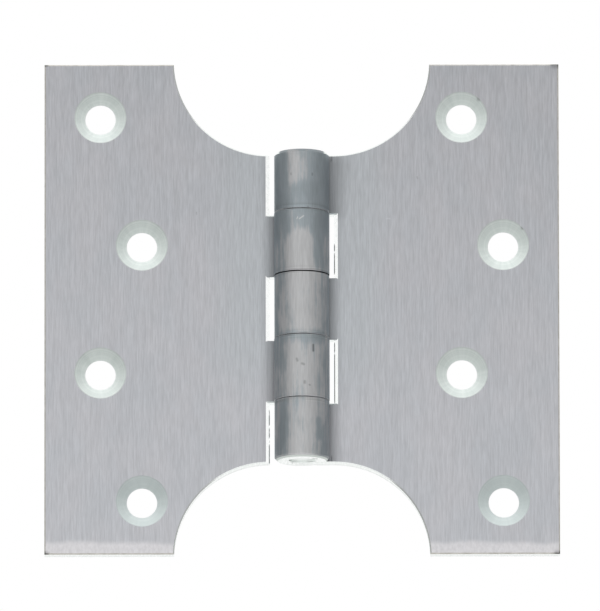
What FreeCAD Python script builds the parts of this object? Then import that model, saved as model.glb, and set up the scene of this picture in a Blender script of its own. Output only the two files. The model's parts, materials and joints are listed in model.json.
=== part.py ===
"""Parliament hinge, drawn opened flat: two sheet-steel leaves with rolled knuckles on one fixed pin.

Millimetres, +Z up along the pin. The pin's axis is the Z axis and half the barrel's length is the origin.
The countersunk faces look along -Y and the backs of the leaves look along +Y.
"""

import FreeCAD
import Part
import Sketcher
import math
import os

from FreeCAD import Placement, Rotation, Vector

# Every driving size, in millimetres (the countersink's angle is in degrees).
SIZES = {
    "leaf_height": 100.0,
    "open_width": 103.0,
    "sheet_thickness": 2.8,
    "leaf_setback": 1.6,
    "pin_diameter": 5.4,
    "running_clearance": 0.05,
    "root_bend_radius": 1.0,
    "seam_gap": 0.15,
    "barrel_length": 62.8,
    "centre_knuckle": 12.8,
    "inner_knuckle": 12.8,
    "knuckle_gap": 0.2,
    "notch_gap": 0.95,
    "cutout_radius": 19.2,
    "cutout_start": 0.9,
    "screw_hole": 6.1,
    "countersink": 10.4,
    "countersink_angle": 90.0,
    "screw_pitch": 26.1,
    "screw_edge": 11.2,
    "screw_stagger": 8.3,
    "edge_break": 0.25,
    "slot_bevel": 0.78,
    "rim_chamfer": 0.65,
    "pin_recess": 0.5,
    "pin_chamfer": 0.4,
}

# Sizes that follow from the driving ones, each written once as an expression.
LEAF_REACH = "Sizes.open_width / 2"
PIN_RADIUS = "Sizes.pin_diameter / 2"
RUNNING_BORE = f"({PIN_RADIUS} + Sizes.running_clearance)"
BARREL_RADIUS = f"({PIN_RADIUS} + Sizes.sheet_thickness)"
NOTCH_EDGE = f"({BARREL_RADIUS} + Sizes.notch_gap)"
SEAM_LEVEL = "(Sizes.leaf_setback - Sizes.seam_gap)"
BARREL_END = "Sizes.barrel_length / 2"
CUTOUT_CENTRE = f"({BARREL_RADIUS} + Sizes.cutout_start)"
CUTOUT_TOP = f"({BARREL_END} + Sizes.cutout_radius + Sizes.leaf_height)"
CENTRE_JOINT = "Sizes.centre_knuckle / 2"
INNER_JOINT = f"({CENTRE_JOINT} + Sizes.inner_knuckle)"
HALF_GAP = "Sizes.knuckle_gap / 2"
NOTCH_TOP = f"({BARREL_END} + Sizes.sheet_thickness)"
OUTER_COLUMN = f"({LEAF_REACH} - Sizes.screw_edge)"
INNER_COLUMN = f"({OUTER_COLUMN} - Sizes.screw_stagger)"
BACK_LEVEL = "(Sizes.leaf_setback + Sizes.sheet_thickness)"
RIM_INNER = f"({BARREL_RADIUS} - Sizes.rim_chamfer)"
RIM_OUTER = f"({BARREL_RADIUS} + Sizes.rim_chamfer)"
RIM_LOW = f"({BARREL_END} - 2 * Sizes.rim_chamfer)"
SEAM_SWEEP = f"180 deg + asin({SEAM_LEVEL} / {BARREL_RADIUS})"
CRANK_SWEEP = (
    f"90 deg + acos(({BACK_LEVEL} + Sizes.root_bend_radius) / ({BARREL_RADIUS} + Sizes.root_bend_radius))"
)
PIN_LENGTH = "Sizes.barrel_length - 2 * Sizes.pin_recess"

# Screw rows, counted in pitches from the middle of the leaf: the inner column first, then the outer one.
INNER_ROWS = (1.5, -0.5)
OUTER_ROWS = (0.5, -1.5)

# Places on a piece of sketch geometry, and the sketch's own axes, as constraints number them.
START = 1
END = 2
CENTRE = 3
AXES = -1

# The door leaf's turn about the Y axis, in degrees.
HALF_TURN = 180

# Lengths nearer than this are taken as equal when edges are picked.
SAME = 1e-4


def add_sizes(doc):
    """Write the driving sizes into a spreadsheet, one alias each."""
    sheet = doc.addObject("Spreadsheet::Sheet", "Sizes")
    for row, (name, size) in enumerate(SIZES.items(), start=1):
        sheet.set(f"A{row}", name)
        sheet.set(f"B{row}", str(size))
        sheet.setAlias(f"B{row}", name)
    doc.recompute()
    return sheet


def measure(sheet, expression):
    """Work out one of the expressions above as a plain number."""
    return float(sheet.evalExpression(expression))


def add_sketch(body, name, role, depth=None):
    """Add a sketch on one of the body's origin planes, moved along its normal where a depth is given."""
    plane = next(item for item in body.Origin.OriginFeatures if item.Role == role)
    sketch = body.newObject("Sketcher::SketchObject", name)
    sketch.AttachmentSupport = [(plane, "")]
    sketch.MapMode = "FlatFace"
    if depth:
        sketch.setExpression("AttachmentOffset.Base.z", depth)
    return sketch


def add_line(sketch, start, end):
    """Draw a straight line between two points."""
    return sketch.addGeometry(Part.LineSegment(Vector(*start), Vector(*end)), False)


def add_arc(sketch, centre, start, end):
    """Draw an arc that runs anticlockwise about its centre from the start to the end."""
    radius = math.dist(centre, start)
    first = math.atan2(start[1] - centre[1], start[0] - centre[0])
    last = math.atan2(end[1] - centre[1], end[0] - centre[0])
    while last <= first:
        last += 2 * math.pi
    circle = Part.Circle(Vector(*centre), Vector(0, 0, 1), radius)
    return sketch.addGeometry(Part.ArcOfCircle(circle, first, last), False)


def relate(sketch, kind, *references):
    """Add a constraint that carries no size."""
    sketch.addConstraint(Sketcher.Constraint(kind, *references))


def drive(sketch, name, expression, kind, *references):
    """Add a constraint whose size follows an expression on the spreadsheet."""
    start = measure(sketch.Document.Sizes, expression)
    index = sketch.addConstraint(Sketcher.Constraint(kind, *references, start))
    sketch.renameConstraint(index, name)
    sketch.setExpression(f"Constraints.{name}", expression)


def draw_section(sketch, bore):
    """Draw the sheet end on: the flat leaf, its cranked root, and one turn round the bore to the seam."""
    sheet = sketch.Document.Sizes
    reach = measure(sheet, LEAF_REACH)
    hollow = measure(sheet, bore)
    barrel = hollow + sheet.sheet_thickness
    bend = sheet.root_bend_radius
    front = sheet.leaf_setback
    back = front + sheet.sheet_thickness
    # The crank and the curl meet on the line between their centres, which leans away from the Y axis.
    lean = math.acos((back + bend) / (barrel + bend))
    crank = ((barrel + bend) * math.sin(lean), back + bend)
    meet = (math.sin(lean), math.cos(lean))
    seam = math.asin(measure(sheet, SEAM_LEVEL) / barrel)
    mouth = (math.cos(seam), math.sin(seam))
    curl_outer = (barrel * meet[0], barrel * meet[1])
    curl_inner = (hollow * meet[0], hollow * meet[1])
    seam_outer = (barrel * mouth[0], barrel * mouth[1])
    seam_inner = (hollow * mouth[0], hollow * mouth[1])

    edge = add_line(sketch, (reach, front), (reach, back))
    rear = add_line(sketch, (reach, back), (crank[0], back))
    rear_bend = add_arc(sketch, crank, curl_outer, (crank[0], back))
    outside = add_arc(sketch, (0, 0), curl_outer, seam_outer)
    lip = add_line(sketch, seam_outer, seam_inner)
    inside = add_arc(sketch, (0, 0), curl_inner, seam_inner)
    face_bend = add_arc(sketch, crank, curl_inner, (crank[0], front))
    face = add_line(sketch, (crank[0], front), (reach, front))

    relate(sketch, "Coincident", face, END, edge, START)
    relate(sketch, "Coincident", edge, END, rear, START)
    relate(sketch, "Tangent", rear, END, rear_bend, END)
    relate(sketch, "Tangent", rear_bend, START, outside, START)
    relate(sketch, "Coincident", outside, END, lip, START)
    relate(sketch, "Coincident", lip, END, inside, END)
    relate(sketch, "Tangent", inside, START, face_bend, START)
    relate(sketch, "Tangent", face_bend, END, face, START)
    relate(sketch, "Vertical", edge)
    relate(sketch, "Horizontal", rear)
    relate(sketch, "Horizontal", face)
    relate(sketch, "Coincident", outside, CENTRE, AXES, START)
    relate(sketch, "Coincident", inside, CENTRE, AXES, START)
    relate(sketch, "Coincident", face_bend, CENTRE, rear_bend, CENTRE)
    relate(sketch, "PointOnObject", AXES, START, lip)
    drive(sketch, "reach", LEAF_REACH, "DistanceX", AXES, START, edge, START)
    drive(sketch, "setback", "Sizes.leaf_setback", "DistanceY", AXES, START, edge, START)
    drive(sketch, "thickness", "Sizes.sheet_thickness", "DistanceY", edge, START, edge, END)
    drive(sketch, "bore_radius", bore, "Radius", inside)
    drive(sketch, "bend_radius", "Sizes.root_bend_radius", "Radius", rear_bend)
    drive(sketch, "seam_level", SEAM_LEVEL, "DistanceY", AXES, START, lip, START)


def draw_cutout(sketch):
    """Draw the quarter-round taken out above the barrel, carried on past the top edge of the leaf."""
    sheet = sketch.Document.Sizes
    clear = -measure(sheet, NOTCH_EDGE)
    start = measure(sheet, CUTOUT_CENTRE)
    foot = measure(sheet, BARREL_END)
    side = start + sheet.cutout_radius
    centre = (start, foot + sheet.cutout_radius)
    top = measure(sheet, CUTOUT_TOP)

    floor = add_line(sketch, (clear, foot), (start, foot))
    sweep = add_arc(sketch, centre, (start, foot), (side, centre[1]))
    wall = add_line(sketch, (side, centre[1]), (side, top))
    roof = add_line(sketch, (side, top), (clear, top))
    near = add_line(sketch, (clear, top), (clear, foot))

    relate(sketch, "Tangent", floor, END, sweep, START)
    relate(sketch, "Tangent", sweep, END, wall, START)
    relate(sketch, "Coincident", wall, END, roof, START)
    relate(sketch, "Coincident", roof, END, near, START)
    relate(sketch, "Coincident", near, END, floor, START)
    relate(sketch, "Horizontal", floor)
    relate(sketch, "Vertical", wall)
    relate(sketch, "Horizontal", roof)
    relate(sketch, "Vertical", near)
    drive(sketch, "barrel_end", BARREL_END, "DistanceY", AXES, START, floor, START)
    drive(sketch, "clear_side", f"-{NOTCH_EDGE}", "DistanceX", AXES, START, floor, START)
    drive(sketch, "arc_start", CUTOUT_CENTRE, "DistanceX", AXES, START, sweep, CENTRE)
    drive(sketch, "arc_radius", "Sizes.cutout_radius", "Radius", sweep)
    drive(sketch, "past_top", CUTOUT_TOP, "DistanceY", AXES, START, roof, START)


def draw_notch(sketch, name, low, high):
    """Draw one slot across the knuckle row, from the low level to the high one."""
    sheet = sketch.Document.Sizes
    side = measure(sheet, NOTCH_EDGE)
    bottom = measure(sheet, low)
    top = measure(sheet, high)

    foot = add_line(sketch, (-side, bottom), (side, bottom))
    wall = add_line(sketch, (side, bottom), (side, top))
    head = add_line(sketch, (side, top), (-side, top))
    near = add_line(sketch, (-side, top), (-side, bottom))

    relate(sketch, "Coincident", foot, END, wall, START)
    relate(sketch, "Coincident", wall, END, head, START)
    relate(sketch, "Coincident", head, END, near, START)
    relate(sketch, "Coincident", near, END, foot, START)
    relate(sketch, "Horizontal", foot)
    relate(sketch, "Vertical", wall)
    relate(sketch, "Horizontal", head)
    relate(sketch, "Vertical", near)
    drive(sketch, f"{name}_wall", NOTCH_EDGE, "DistanceX", AXES, START, wall, START)
    drive(sketch, f"{name}_near", f"-{NOTCH_EDGE}", "DistanceX", AXES, START, near, START)
    drive(sketch, f"{name}_low", low, "DistanceY", AXES, START, foot, START)
    drive(sketch, f"{name}_high", high, "DistanceY", AXES, START, head, START)


def draw_screws(sketch):
    """Draw the four screw holes, two in each staggered column."""
    columns = (("inner", INNER_COLUMN, INNER_ROWS), ("outer", OUTER_COLUMN, OUTER_ROWS))
    sheet = sketch.Document.Sizes
    radius = sheet.screw_hole / 2
    for column, across, rows in columns:
        for number, row in enumerate(rows, start=1):
            level = f"{row} * Sizes.screw_pitch"
            centre = Vector(measure(sheet, across), measure(sheet, level))
            hole = sketch.addGeometry(Part.Circle(centre, Vector(0, 0, 1), radius), False)
            name = f"{column}_{number}"
            drive(sketch, f"{name}_across", across, "DistanceX", AXES, START, hole, CENTRE)
            drive(sketch, f"{name}_level", level, "DistanceY", AXES, START, hole, CENTRE)
            drive(sketch, f"{name}_size", "Sizes.screw_hole", "Diameter", hole)


def draw_rim(sketch):
    """Draw the corner that the chamfer takes off the barrel's top rim, on the side away from the leaf."""
    sheet = sketch.Document.Sizes
    inner = -measure(sheet, RIM_INNER)
    outer = -measure(sheet, RIM_OUTER)
    top = measure(sheet, BARREL_END)
    low = measure(sheet, RIM_LOW)

    flat = add_line(sketch, (inner, top), (outer, top))
    side = add_line(sketch, (outer, top), (outer, low))
    slope = add_line(sketch, (outer, low), (inner, top))

    relate(sketch, "Coincident", flat, END, side, START)
    relate(sketch, "Coincident", side, END, slope, START)
    relate(sketch, "Coincident", slope, END, flat, START)
    relate(sketch, "Horizontal", flat)
    relate(sketch, "Vertical", side)
    drive(sketch, "rim_inner", f"-{RIM_INNER}", "DistanceX", AXES, START, flat, START)
    drive(sketch, "rim_outer", f"-{RIM_OUTER}", "DistanceX", AXES, START, side, START)
    drive(sketch, "barrel_end", BARREL_END, "DistanceY", AXES, START, flat, START)
    drive(sketch, "rim_low", RIM_LOW, "DistanceY", AXES, START, side, END)


def cut_through(body, name, sketch):
    """Cut a sketch right through the body, both ways from its plane."""
    pocket = body.newObject("PartDesign::Pocket", name)
    pocket.Profile = sketch
    pocket.Type = "ThroughAll"
    pocket.SideType = "Symmetric"
    return pocket


def mirror_up_down(body, name, feature):
    """Repeat a feature on the other side of the middle of the barrel."""
    plane = next(item for item in body.Origin.OriginFeatures if item.Role == "XY_Plane")
    body.Document.recompute()
    mirror = body.newObject("PartDesign::Mirrored", name)
    mirror.Originals = [feature]
    mirror.MirrorPlane = (plane, [""])
    body.Tip = mirror
    return mirror


def upright_at(box, across):
    """Tell whether an edge's box stands upright at one distance from the pin's axis."""
    return abs(box.XMin - across) < SAME and abs(box.XMax - across) < SAME


def face_edges(shape, level, chosen):
    """Name the edges of the countersunk face, which lies at one level along Y, whose boxes are chosen."""
    names = []
    for number, edge in enumerate(shape.Edges, start=1):
        box = edge.BoundBox
        on_face = abs(box.YMin - level) < SAME and abs(box.YMax - level) < SAME
        if on_face and chosen(box):
            names.append(f"Edge{number}")
    return names


def add_rolled_sheet(body, bore):
    """Roll the knuckle along the whole height of the sheet, round a bore of the radius given."""
    section = add_sketch(body, f"{body.Label}_section", "XY_Plane")
    draw_section(section, bore)
    rolled = body.newObject("PartDesign::Pad", f"{body.Label}_rolled")
    rolled.Profile = section
    rolled.SideType = "Symmetric"
    rolled.setExpression("Length", "Sizes.leaf_height")


def cut_outline(body, notches):
    """Cut the quarter-rounds above and below the barrel, and the slots for the other leaf's knuckles."""
    quarter = add_sketch(body, f"{body.Label}_quarter", "XZ_Plane")
    draw_cutout(quarter)
    cutout = cut_through(body, f"{body.Label}_cutout", quarter)
    mirror_up_down(body, f"{body.Label}_cutouts", cutout)

    slots = add_sketch(body, f"{body.Label}_slots", "XZ_Plane")
    for number, (low, high) in enumerate(notches, start=1):
        draw_notch(slots, f"slot_{number}", low, high)
    notch = cut_through(body, f"{body.Label}_notch", slots)
    mirror_up_down(body, f"{body.Label}_notches", notch)


def bevel_slots(body):
    """Bevel the upright side of each slot towards the front, as the punch that cut it leaves it."""
    sheet = body.Document.Sizes
    body.Document.recompute()
    outline = body.Tip
    side = measure(sheet, NOTCH_EDGE)
    sides = face_edges(outline.Shape, sheet.leaf_setback, lambda box: upright_at(box, side))
    bevel = body.newObject("PartDesign::Chamfer", f"{body.Label}_bevels")
    bevel.Base = (outline, sides)
    bevel.setExpression("Size", "Sizes.slot_bevel")


def break_edges(body):
    """Take the sharp corner off the other edges of the countersunk face, but not its bend lines."""
    sheet = body.Document.Sizes
    body.Document.recompute()
    bevelled = body.Tip
    barrel = measure(sheet, BARREL_RADIUS)
    bevel = measure(sheet, NOTCH_EDGE) + sheet.slot_bevel
    edges = face_edges(
        bevelled.Shape, sheet.leaf_setback, lambda box: box.XMax > barrel and not upright_at(box, bevel)
    )
    broken = body.newObject("PartDesign::Chamfer", f"{body.Label}_edges")
    broken.Base = (bevelled, edges)
    broken.setExpression("Size", "Sizes.edge_break")


def chamfer_rims(body):
    """Chamfer the outer rim at both ends of the barrel, from the crank round to the seam."""
    corner = add_sketch(body, f"{body.Label}_rim", "XZ_Plane")
    draw_rim(corner)
    rim = body.newObject("PartDesign::Groove", f"{body.Label}_chamfer")
    rim.Profile = corner
    rim.ReferenceAxis = (corner, ["V_Axis"])
    rim.Type = "TwoAngles"
    rim.setExpression("Angle", SEAM_SWEEP)
    rim.setExpression("Angle2", CRANK_SWEEP)
    mirror_up_down(body, f"{body.Label}_chamfers", rim)


def sink_screws(body):
    """Drill and countersink the four screw holes from the front."""
    centres = add_sketch(body, f"{body.Label}_screws", "XZ_Plane", "-Sizes.leaf_setback")
    draw_screws(centres)
    body.Document.recompute()
    holes = body.newObject("PartDesign::Hole", f"{body.Label}_holes")
    holes.Profile = centres
    holes.DepthType = "ThroughAll"
    holes.HoleCutType = "Countersink"
    holes.HoleCutCustomValues = True
    holes.setExpression("Diameter", "Sizes.screw_hole")
    holes.setExpression("HoleCutDiameter", "Sizes.countersink")
    holes.setExpression("HoleCutCountersinkAngle", "Sizes.countersink_angle")


def make_frame_leaf(doc):
    """Build the leaf with three knuckles, whose end ones close the barrel and grip the pin."""
    body = doc.addObject("PartDesign::Body", "frame_leaf")
    body.Label = "frame_leaf"
    add_rolled_sheet(body, PIN_RADIUS)
    cut_outline(body, [(f"{CENTRE_JOINT} - {HALF_GAP}", f"{INNER_JOINT} + {HALF_GAP}")])
    bevel_slots(body)
    break_edges(body)
    chamfer_rims(body)
    sink_screws(body)
    return body


def make_door_leaf(doc):
    """Build the leaf with two running knuckles, cut from the same pattern and turned end for end."""
    body = doc.addObject("PartDesign::Body", "door_leaf")
    body.Label = "door_leaf"
    add_rolled_sheet(body, RUNNING_BORE)
    centre_slot = (f"-({CENTRE_JOINT} + {HALF_GAP})", f"{CENTRE_JOINT} + {HALF_GAP}")
    end_slot = (f"{INNER_JOINT} - {HALF_GAP}", NOTCH_TOP)
    cut_outline(body, [centre_slot, end_slot])
    bevel_slots(body)
    break_edges(body)
    sink_screws(body)
    body.Placement = Placement(Vector(0, 0, 0), Rotation(Vector(0, 1, 0), HALF_TURN))
    return body


def make_hinge_pin(doc):
    """Build the plain pin with chamfered ends, a little short of the barrel's ends."""
    body = doc.addObject("PartDesign::Body", "hinge_pin")
    body.Label = "hinge_pin"
    sheet = doc.Sizes
    circle = add_sketch(body, "hinge_pin_circle", "XY_Plane")
    radius = measure(sheet, PIN_RADIUS)
    round_bar = circle.addGeometry(Part.Circle(Vector(0, 0, 0), Vector(0, 0, 1), radius), False)
    relate(circle, "Coincident", round_bar, CENTRE, AXES, START)
    drive(circle, "pin_radius", PIN_RADIUS, "Radius", round_bar)
    bar = body.newObject("PartDesign::Pad", "hinge_pin_bar")
    bar.Profile = circle
    bar.SideType = "Symmetric"
    bar.setExpression("Length", PIN_LENGTH)
    doc.recompute()

    rims = [f"Edge{n}" for n, edge in enumerate(bar.Shape.Edges, start=1) if edge.isClosed()]
    ends = body.newObject("PartDesign::Chamfer", "hinge_pin_ends")
    ends.Base = (bar, rims)
    ends.setExpression("Size", "Sizes.pin_chamfer")
    return body


def check(doc, bodies):
    """Stop if any object failed to build or any piece isn't one sound solid."""
    for item in doc.Objects:
        if {"Invalid", "Error"} & set(item.State):
            raise RuntimeError(f"{item.Name} failed to build: {item.State}")
    for body in bodies:
        shape = body.Shape
        if shape.isNull() or not shape.isValid() or len(shape.Solids) != 1:
            raise RuntimeError(f"{body.Label} isn't one sound solid")


def main():
    """Build the hinge and write one file for each piece."""
    doc = FreeCAD.newDocument("parliament_hinge")
    add_sizes(doc)
    bodies = [make_frame_leaf(doc), make_door_leaf(doc), make_hinge_pin(doc)]
    doc.recompute()
    check(doc, bodies)
    os.makedirs("parts", exist_ok=True)
    for body in bodies:
        body.Shape.exportStep(f"parts/{body.Label}.step")
        print(body.Label, round(body.Shape.Volume, 1), "cubic millimetres")


main()
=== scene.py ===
# %% [markdown]
# # A parliament hinge in satin steel
# Two wide steel leaves are rolled round one pin. Their faces are brushed, their cut edges are left as
# they were plated, and the knuckles are clouded where the sheet was bent. The shapes come from the packed
# model, so this lesson is about finish: which faces were touched by which tool, and what that leaves.

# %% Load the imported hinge
import json
import math

import bpy
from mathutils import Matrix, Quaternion, Vector


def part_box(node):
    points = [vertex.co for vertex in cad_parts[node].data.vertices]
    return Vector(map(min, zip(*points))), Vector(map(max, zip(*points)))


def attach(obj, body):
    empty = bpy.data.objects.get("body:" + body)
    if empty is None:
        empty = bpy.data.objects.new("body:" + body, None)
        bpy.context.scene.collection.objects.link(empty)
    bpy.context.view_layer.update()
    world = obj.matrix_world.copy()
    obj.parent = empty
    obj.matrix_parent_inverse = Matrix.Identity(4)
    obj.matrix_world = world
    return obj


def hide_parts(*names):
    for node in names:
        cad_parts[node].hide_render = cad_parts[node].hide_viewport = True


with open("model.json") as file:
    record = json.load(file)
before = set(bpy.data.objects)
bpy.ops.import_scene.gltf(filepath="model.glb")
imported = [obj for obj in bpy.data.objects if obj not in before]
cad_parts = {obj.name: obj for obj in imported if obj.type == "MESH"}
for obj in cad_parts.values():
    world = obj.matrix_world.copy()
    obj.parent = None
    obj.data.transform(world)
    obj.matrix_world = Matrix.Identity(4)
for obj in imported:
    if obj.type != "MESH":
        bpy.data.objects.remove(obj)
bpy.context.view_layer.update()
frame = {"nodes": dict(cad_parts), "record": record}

MM = 0.001

for node_name in sorted(frame["nodes"]):
    low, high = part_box(node_name)
    print(node_name, "is", [round(side / MM, 2) for side in high - low], "mm")

# %% [markdown]
# ## Read the hinge's own places
# A finish has to sit on the right face, so a few places are read from the model instead of being typed
# in again: the corners of the leaves, the levels of their fronts and backs, the barrel's radius, ends and
# joints, the sides of the slots, and the middle of every screw hole. The record gives the holes in pairs,
# as a fitter would mark them out on a door frame. The rest is found among the corners of the leaves.

# %% Find the faces and the holes
LEAF_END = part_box("frame_leaf")[1].z
LEAF_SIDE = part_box("frame_leaf")[1].x
BARREL_RADIUS = -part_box("door_leaf")[0].y
MOUNTS = {mount["name"]: mount for mount in frame["record"]["mounts"]}
BACK_LEVEL = MOUNTS["frame_leaf_back"]["pos_m"][1]
ON_BACK = BACK_LEVEL - 0.01 * MM


def corners_of(node):
    """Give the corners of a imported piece."""
    return [corner.co for corner in frame["nodes"][node].data.vertices]


CORNERS = corners_of("frame_leaf")
FRONT_LEVEL = min(corner.y for corner in CORNERS if corner.x > LEAF_SIDE / 2)
BARREL_END = max(corner.z for corner in CORNERS if corner.x < BARREL_RADIUS)
JOINT_LEVEL = min(abs(corner.z) for corner in corners_of("door_leaf") if corner.x > 0)
UPPER_BACK = [corner for corner in CORNERS if corner.y > ON_BACK and corner.z > 0]
SLOT_SIDE = min(corner.x for corner in UPPER_BACK if corner.x > BARREL_RADIUS)


def screw_holes():
    """Give the middle of every screw hole as (x, z), from the bolt patterns in the record."""
    holes = []
    for mount in MOUNTS.values():
        if mount["kind"] == "bolt_pattern":
            across, _, level = mount["pos_m"]
            half_pitch = mount["dims"]["spacing_y_mm"] * MM / 2
            holes += [(across, level + half_pitch), (across, level - half_pitch)]
    return holes


HOLES = screw_holes()
FRAME_HOLES = [hole for hole in HOLES if hole[0] > 0]
print(len(HOLES), "screw holes; fronts and backs", round(FRONT_LEVEL / MM, 2), round(BACK_LEVEL / MM, 2))
print("barrel ends", round(BARREL_END / MM, 2), "mm from the middle, slot sides", round(SLOT_SIDE / MM, 2))

# %% [markdown]
# ## Read places off the photograph
# The photograph is 600 by 611 pixels, and five of them are a millimetre on the hinge. The upright sides
# of the leaves are parallel, so the lens is very long. The joints between the knuckles are shallow arcs
# and the foot of the barrel shows, so the camera looks up from a little below. With these few numbers a
# mark that is seen at a pixel can be put on the barrel's skin or on the front of a leaf, and the camera
# can be placed later.

# %% Write down the picture's scale
PICTURE = (600, 611)
PIXELS_PER_MM = 5.0
HINGE_PIXEL = (301.85, 307.2)
EYE_ELEVATION = math.radians(-11.6)


def sideways(column):
    """Give how far right of the pin's axis a column of pixels is."""
    return (column - HINGE_PIXEL[0]) / PIXELS_PER_MM * MM


def upwards(row):
    """Give how far above the hinge's middle a row of pixels is, in the plane of the picture."""
    return (HINGE_PIXEL[1] - row) / PIXELS_PER_MM * MM


def seen_at(column, row, depth):
    """Give the point that is seen at a pixel of the photograph, when its depth is known."""
    level = (upwards(row) - depth * math.sin(EYE_ELEVATION)) / math.cos(EYE_ELEVATION)
    return (sideways(column), depth, level)


def on_barrel(column, row):
    """Give the point on the barrel's front that is seen at a pixel."""
    return seen_at(column, row, -math.sqrt(BARREL_RADIUS ** 2 - sideways(column) ** 2))


def on_leaf(column, row):
    """Give the point on the front of a leaf that is seen at a pixel."""
    return seen_at(column, row, FRONT_LEVEL)


print("the hinge's pixel shows the barrel at", [round(side / MM, 1) for side in on_barrel(*HINGE_PIXEL)])

# %% [markdown]
# ## Weld the leaves
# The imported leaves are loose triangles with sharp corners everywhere. A real leaf has no such corner: the
# press rounds one side, and the tumbling drum rounds the rest. The leaves could be shown as they are, but
# then the back edges and the ends of the knuckles would catch no light. So each leaf is copied, its
# triangles are welded into one skin, the flat ones are joined into whole faces, and only the corners near
# a right angle get a bevel of a few hundredths of a millimetre. The outline and the size stay the same.

# %% Copy, weld and soften a leaf
WELD = 0.001 * MM
FLAT = math.radians(0.05)
SOFT_CORNER = 0.07 * MM
SOFT_STEPS = 2
SHARP = math.radians(60)
SMOOTH = math.radians(18)


def pick_alone(piece):
    """Select one object and nothing else, because an operator acts on all that is selected."""
    bpy.ops.object.select_all(action="DESELECT")
    piece.select_set(True)
    bpy.context.view_layer.objects.active = piece


def weld_skin(join_flat):
    """Weld the picked object's triangles together, and join the flat ones into whole faces if asked."""
    bpy.ops.object.mode_set(mode="EDIT")
    bpy.ops.mesh.select_all(action="SELECT")
    bpy.ops.mesh.remove_doubles(threshold=WELD)
    bpy.ops.mesh.customdata_custom_splitnormals_clear()
    if join_flat:
        bpy.ops.mesh.dissolve_limited(angle_limit=FLAT)
    bpy.ops.object.mode_set(mode="OBJECT")


def soften_leaf(node, name):
    """Copy one packed leaf under a new name, as one closed skin with softened corners."""
    leaf = bpy.data.objects.new(name, frame["nodes"][node].data.copy())
    bpy.context.collection.objects.link(leaf)
    pick_alone(leaf)
    weld_skin(join_flat=True)
    bpy.ops.object.modifier_add(type="BEVEL")
    corners = leaf.modifiers[-1]
    corners.width = SOFT_CORNER
    corners.segments = SOFT_STEPS
    corners.limit_method = "ANGLE"
    corners.angle_limit = SHARP
    corners.use_clamp_overlap = False
    bpy.ops.object.modifier_apply(modifier=corners.name)
    weld_skin(join_flat=False)
    bpy.ops.object.shade_smooth_by_angle(angle=SMOOTH)
    print(name, "has", len(leaf.data.polygons), "faces")
    return leaf


frame_sheet = soften_leaf("frame_leaf", "frame_leaf_sheet")
door_sheet = soften_leaf("door_leaf", "door_leaf_sheet")

# %% [markdown]
# ## Small tools for shader nodes
# A finish here is worked out point by point from the place on the piece, with no picture. Nodes could be
# wired one by one, but the same few steps come again and again: add a node and fill its sockets, do one
# sum, stretch a range, mix two colours. Each gets a short helper. Noise seldom leaves the middle of its
# range, so one helper spreads that middle out.

# %% Helpers that add nodes and do sums
NOISE_SPAN = (0.3, 0.7)


def fill(tree, node, plugs):
    """Fill a node's sockets with values or with links."""
    for socket, value in plugs.items():
        if isinstance(value, bpy.types.NodeSocket):
            tree.links.new(value, node.inputs[socket])
        else:
            node.inputs[socket].default_value = value


def add(tree, kind, plugs=None, **settings):
    """Add a node, set its options, and fill its sockets."""
    made = tree.nodes.new(kind)
    for option, value in settings.items():
        setattr(made, option, value)
    fill(tree, made, plugs or {})
    return made


def calc(tree, operation, *values):
    """Do one sum on numbers or sockets, and give its result."""
    return add(tree, "ShaderNodeMath", dict(enumerate(values)), operation=operation).outputs[0]


def times(tree, first, second):
    """Multiply two numbers or sockets."""
    return calc(tree, "MULTIPLY", first, second)


def vector(tree, operation, first, second=(0.0, 0.0, 0.0)):
    """Do one sum on vectors, and give its outputs by name."""
    return add(tree, "ShaderNodeVectorMath", {0: first, 1: second}, operation=operation).outputs


def grow(tree, arrow, share):
    """Make a vector longer or shorter by a share of itself."""
    plugs = {0: arrow, "Scale": share}
    return add(tree, "ShaderNodeVectorMath", plugs, operation="SCALE").outputs["Vector"]


def stretch(tree, value, low, high, to_low=0.0, to_high=1.0):
    """Turn a range of values into another one, with soft ends."""
    plugs = {0: value, 1: low, 2: high, 3: to_low, 4: to_high}
    return add(tree, "ShaderNodeMapRange", plugs, interpolation_type="SMOOTHSTEP").outputs[0]


def spread(tree, value, to_low=0.0, to_high=1.0):
    """Stretch the middle of noise to a range of values."""
    return stretch(tree, value, *NOISE_SPAN, to_low, to_high)


print("helpers for nodes and sums are ready")

# %% Helpers for colours and places
def rgb(red, green, blue):
    """A colour with full cover."""
    return (red, green, blue, 1.0)


def tint(tree, share, first, second):
    """Mix two colours by a share. A Mix node has them at sockets 6 and 7, and its result at output 2."""
    plugs = {0: share, 6: first, 7: second}
    return add(tree, "ShaderNodeMix", plugs, data_type="RGBA").outputs[2]


def shade(tree, colour, share):
    """Darken or lighten a colour by a share of itself."""
    grey = add(tree, "ShaderNodeCombineColor", {0: share, 1: share, 2: share}).outputs[0]
    plugs = {0: 1.0, 6: colour, 7: grey}
    return add(tree, "ShaderNodeMix", plugs, data_type="RGBA", blend_type="MULTIPLY").outputs[2]


def shade_marks(tree, colour, marks, share):
    """Darken or lighten a colour to a share of itself where there are marks."""
    return shade(tree, colour, stretch(tree, marks, 0.0, 1.0, 1.0, share))


def scaled(tree, point, across, along):
    """Measure a point in marks that are so many millimetres wide and so many long, along the barrel."""
    marks = (1 / (across * MM), 1 / (across * MM), 1 / (along * MM))
    return vector(tree, "MULTIPLY", point, marks)["Vector"]


def noise(tree, point, detail=3.0, rough=0.6):
    """Give soft random values from 0 to 1, one mark to a unit."""
    plugs = {"Vector": point, "Scale": 1.0, "Detail": detail, "Roughness": rough}
    return add(tree, "ShaderNodeTexNoise", plugs).outputs[0]


def mottled(tree, point, size, detail=3.0, rough=0.6):
    """Give noise with marks of a size, in millimetres across and along the barrel."""
    return noise(tree, scaled(tree, point, *size), detail, rough)


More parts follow.
